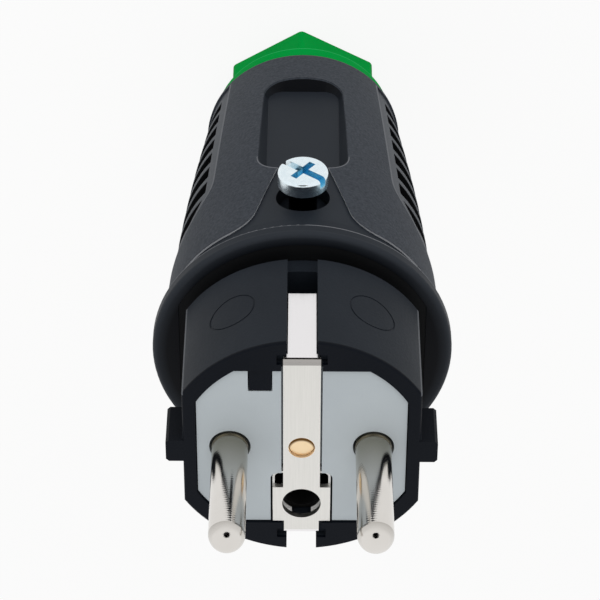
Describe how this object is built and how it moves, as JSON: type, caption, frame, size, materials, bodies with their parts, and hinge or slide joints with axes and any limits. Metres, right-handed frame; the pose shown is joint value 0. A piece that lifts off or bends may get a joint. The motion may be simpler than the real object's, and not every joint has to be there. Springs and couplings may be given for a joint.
{
  "type": "industrial plug",
  "caption": "Heavy-duty earthed mains plug for a free cable: round pins and an earth strip in a nose, a tapered body with flange and side grips, a body screw and a cable gland nut.",
  "frame": {"origin": "centre of the gland nut's rear face, on the plug's axis", "axes": "+Z along the plug's axis from the gland nut to the pins, -Y towards the body screw, X across the pins"},
  "size_m": [0.0412, 0.0436, 0.1014],
  "materials": {
    "housing_black": "black moulded plastic, fine grain",
    "insert_black": "black moulded plastic, smooth",
    "plate_grey": "light grey moulded plastic",
    "gland_green": "green moulded plastic",
    "cage_plastic": "natural polyamide",
    "nickel_brass": "nickel-plated brass",
    "bare_brass": "bare turned brass",
    "zinc_steel": "zinc-plated steel",
    "spring_steel": "bright spring strip",
    "seal_rubber": "black rubber"
  },
  "bodies": {
    "root": {"housing": "housing_black", "insert_body": "insert_black", "face_plate": "plate_grey", "left_pin": "nickel_brass", "right_pin": "nickel_brass", "earth_strip": "nickel_brass", "earth_rivet": "bare_brass", "earth_socket": "nickel_brass", "body_screw": "zinc_steel", "gland_nut": "gland_green", "screw_bush": "bare_brass", "earth_terminal": "bare_brass", "left_terminal_screw": "zinc_steel", "right_terminal_screw": "zinc_steel", "earth_terminal_screw": "zinc_steel", "left_wire_guard": "spring_steel", "right_wire_guard": "spring_steel", "earth_wire_guard": "spring_steel", "insert_seal": "seal_rubber", "clamp_cage": "cage_plastic", "gland_seal": "seal_rubber"}
  },
  "joints": []
}
